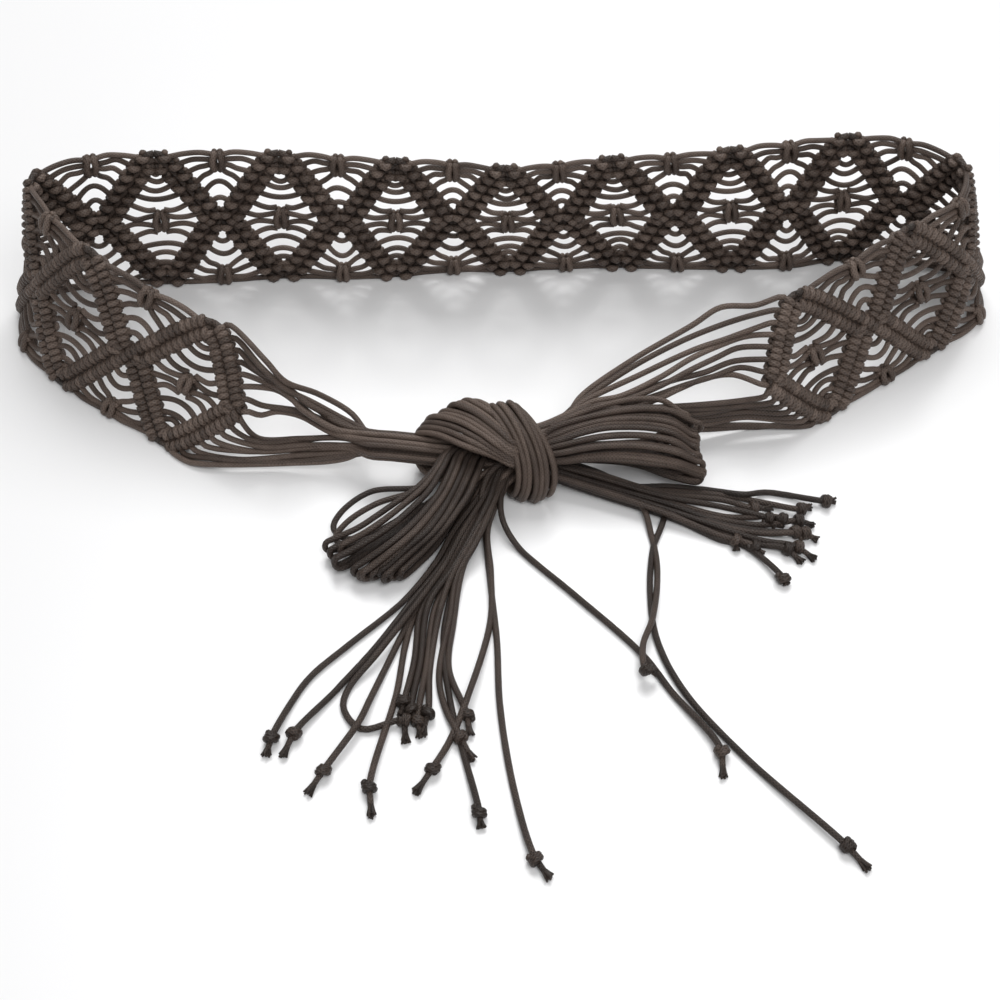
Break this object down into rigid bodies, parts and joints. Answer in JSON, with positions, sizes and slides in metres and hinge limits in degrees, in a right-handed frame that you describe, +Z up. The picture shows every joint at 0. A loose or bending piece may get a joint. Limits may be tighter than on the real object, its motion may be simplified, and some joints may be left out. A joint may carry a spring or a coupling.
{
  "type": "macrame belt",
  "caption": "Macrame belt knotted from dark waxed cotton cord in a row of openwork diamonds, standing closed on its edge with its ends tied in a bow and loose knotted tails.",
  "frame": {"origin": "under the middle of the belt as it stands, on the surface it stands on", "axes": "+X along the belt's back, left to right as seen from the bow; +Y from the bow to the back; +Z up"},
  "size_m": [0.3739, 0.2874, 0.0583],
  "materials": {
    "waxed_cord": "dark taupe waxed cotton cord, soft sheen"
  },
  "bodies": {
    "root": {"net_band": "waxed_cord", "left_end_cords": "waxed_cord", "right_end_cords": "waxed_cord", "bow_knot": "waxed_cord", "left_loop": "waxed_cord", "right_loop": "waxed_cord", "left_tails": "waxed_cord", "right_tails": "waxed_cord"}
  },
  "joints": []
}
